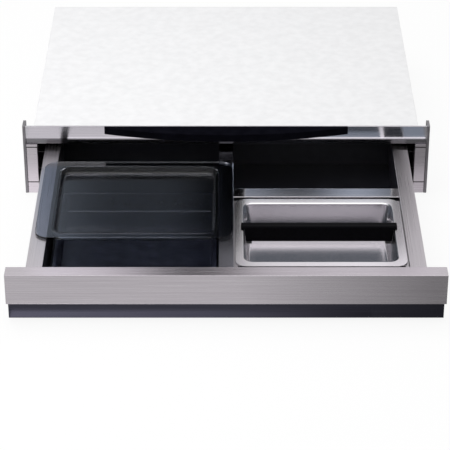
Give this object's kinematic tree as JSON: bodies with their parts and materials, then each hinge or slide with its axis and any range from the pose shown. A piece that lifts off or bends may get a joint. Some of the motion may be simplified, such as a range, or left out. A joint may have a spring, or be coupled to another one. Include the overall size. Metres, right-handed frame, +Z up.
{
  "type": "warming drawer",
  "caption": "Slim built-in warming drawer, open on telescopic slides, with a divided drawer box, lift-out pans, a glass tray and a bow-fronted control panel.",
  "frame": {"origin": "centre of the casing's flat underside", "axes": "+X to the right seen from the front, +Y into the cabinet, +Z up; the drawer opens along -Y"},
  "size_m": [0.762, 0.9915, 0.145],
  "materials": {
    "black_panel": "gloss black",
    "black_rubber": "matt black rubber",
    "black_steel": "black coated steel",
    "board": "printed circuit board",
    "brushed_front": "horizontally brushed stainless steel",
    "brushed_rail": "lengthwise brushed stainless steel",
    "clear_glass": "clear glass",
    "dark_enamel": "dark enamel",
    "dark_pan": "glossy blue-black enamel",
    "dark_strip": "satin dark paint",
    "dark_trim": "satin dark paint",
    "element_sheath": "oxidised steel sheath",
    "insulation": "mineral wool",
    "pale_cover": "pale coated steel",
    "polished_steel": "bright polished stainless steel",
    "satin_pan": "satin stainless steel",
    "seal_rubber": "silicone rubber",
    "slide_steel": "zinc-plated steel",
    "terminal_plastic": "moulded plastic",
    "zinc_steel": "zinc-coated steel"
  },
  "bodies": {
    "casing": {"back_panel": "zinc_steel", "base_pan": "zinc_steel", "cavity_ceiling": "dark_enamel", "control_board": "board", "control_panel": "black_panel", "element_saddles": "zinc_steel", "fascia_band": "polished_steel", "heating_element": "element_sheath", "insulation_blanket": "insulation", "panel_screws": "zinc_steel", "recess_strip": "polished_steel", "side_panel_left": "zinc_steel", "side_panel_right": "zinc_steel", "side_trim_left": "dark_trim", "side_trim_right": "dark_trim", "slide_bracket_left": "black_steel", "slide_bracket_right": "black_steel", "slide_outer_left": "slide_steel", "slide_outer_right": "slide_steel", "stile_caps": "brushed_front", "stile_foot_left": "brushed_front", "stile_foot_right": "brushed_front", "stile_left": "brushed_front", "stile_right": "brushed_front", "terminal_block": "terminal_plastic", "thermostat": "zinc_steel", "top_cover": "pale_cover"},
    "slide_middle_left": {"slide_middle_left": "slide_steel"},
    "slide_middle_right": {"slide_middle_right": "slide_steel"},
    "drawer": {"cross_bar": "polished_steel", "divider": "brushed_rail", "drawer_back": "dark_enamel", "drawer_floor": "dark_enamel", "drawer_front": "brushed_front", "drawer_side_left": "dark_enamel", "drawer_side_right": "dark_enamel", "front_backing": "zinc_steel", "front_end_caps": "brushed_front", "front_filler": "insulation", "front_lower_strip": "dark_strip", "front_seals": "seal_rubber", "pan_rest_inner": "brushed_rail", "pan_rest_outer": "brushed_rail", "rail_cap_left": "brushed_rail", "rail_cap_right": "brushed_rail", "slide_inner_left": "slide_steel", "slide_inner_right": "slide_steel"},
    "pan": {"steam_pan": "satin_pan"},
    "bar": {"bar_sleeve": "black_rubber", "bar_core": "black_steel"},
    "dark_pan": {"left_pan": "dark_pan"},
    "tray": {"glass_tray": "clear_glass"}
  },
  "joints": [
    {"name": "drawer_slide", "type": "slide", "parent": "casing", "child": "drawer", "axis": [0, -1, 0], "range_m": [-0.422, 0]},
    {"name": "middle_slide_left", "type": "slide", "parent": "casing", "child": "slide_middle_left", "axis": [0, -1, 0], "range_m": [-0.211, 0]},
    {"name": "middle_slide_right", "type": "slide", "parent": "casing", "child": "slide_middle_right", "axis": [0, -1, 0], "range_m": [-0.211, 0]},
    {"name": "pan_lift", "type": "slide", "parent": "drawer", "child": "pan", "axis": [0, 0, 1], "range_m": [0, 0.12]},
    {"name": "bar_lift", "type": "slide", "parent": "pan", "child": "bar", "axis": [0, 0, 1], "range_m": [0, 0.06]},
    {"name": "dark_pan_lift", "type": "slide", "parent": "drawer", "child": "dark_pan", "axis": [0, 0, 1], "range_m": [0, 0.02]},
    {"name": "tray_lift", "type": "slide", "parent": "drawer", "child": "tray", "axis": [0, 0, 1], "range_m": [0, 0.12]}
  ],
  "couplings": [
    {"joint": "middle_slide_left", "follows": "drawer_slide", "ratio": 0.5},
    {"joint": "middle_slide_right", "follows": "drawer_slide", "ratio": 0.5}
  ]
}
